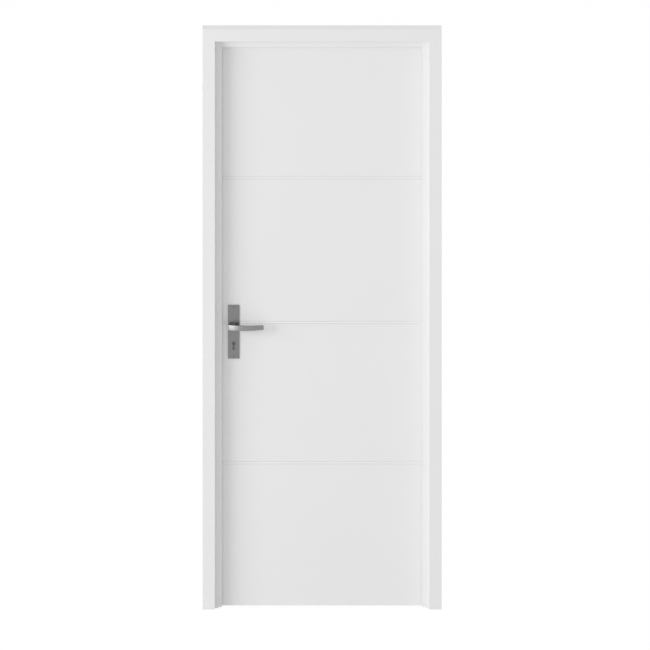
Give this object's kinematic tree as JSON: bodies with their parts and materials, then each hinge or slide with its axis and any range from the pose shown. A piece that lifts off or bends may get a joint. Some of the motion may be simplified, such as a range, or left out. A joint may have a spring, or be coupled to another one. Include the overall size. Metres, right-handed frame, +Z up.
{
  "type": "insulated single door with frame",
  "caption": "Flush insulated door leaf with inlaid strips, hung on butt hinges in a rebated frame, with sprung lever handles on long plates; the leaf swings and the levers turn.",
  "frame": {"origin": "floor level, on the outer face of the hinge jamb, midway through the frame's depth", "axes": "+X out of the hinge side of the frame, +Y through the doorway towards the side the leaf opens to, +Z up"},
  "size_m": [0.835, 0.152, 2.0515],
  "materials": {
    "white_paint": "white satin lacquer on timber board",
    "seal_rubber": "soft white seal strip",
    "plated_steel": "satin plated steel",
    "handle_metal": "satin grey metal",
    "cylinder_brass": "dark nickel-plated brass",
    "inlay_strip": "white-coated satin strip",
    "foam_core": "pale rigid foam board"
  },
  "bodies": {
    "frame": {"hinge_casing": "white_paint", "lock_casing": "white_paint", "head_casing": "white_paint", "hinge_jamb": "white_paint", "lock_jamb": "white_paint", "head_jamb": "white_paint", "hinge_stop": "white_paint", "lock_stop": "white_paint", "head_stop": "white_paint", "hinge_seal": "seal_rubber", "lock_seal": "seal_rubber", "head_seal": "seal_rubber", "strike_plate": "plated_steel", "bottom_hinge_frame_flap": "plated_steel", "middle_hinge_frame_flap": "plated_steel", "top_hinge_frame_flap": "plated_steel", "bottom_hinge_pin": "plated_steel", "middle_hinge_pin": "plated_steel", "top_hinge_pin": "plated_steel"},
    "leaf": {"front_skin": "white_paint", "back_skin": "white_paint", "lock_stile": "white_paint", "hinge_stile": "white_paint", "top_rail": "white_paint", "bottom_rail": "white_paint", "insulation_core": "foam_core", "lock_case": "plated_steel", "lock_faceplate": "plated_steel", "latch_bolt": "plated_steel", "dead_bolt": "plated_steel", "lock_cylinder": "cylinder_brass", "front_plate": "handle_metal", "back_plate": "handle_metal", "front_strips": "inlay_strip", "back_strips": "inlay_strip", "bottom_hinge_leaf_flap": "plated_steel", "middle_hinge_leaf_flap": "plated_steel", "top_hinge_leaf_flap": "plated_steel"},
    "lever": {"front_lever": "handle_metal", "back_lever": "handle_metal", "spindle": "plated_steel"}
  },
  "joints": [
    {"name": "leaf_swing", "type": "hinge", "parent": "frame", "child": "leaf", "pos_m": [-0.0585, 0.053, 1.01], "axis": [0, 0, -1], "range_deg": [0, 110]},
    {"name": "lever_turn", "type": "hinge", "parent": "leaf", "child": "lever", "pos_m": [-0.726, 0.024, 0.9945], "axis": [0, 1, 0], "range_deg": [0, 40], "stiffness_Nm_per_rad": 1.5, "springref_deg": -20.05}
  ]
}
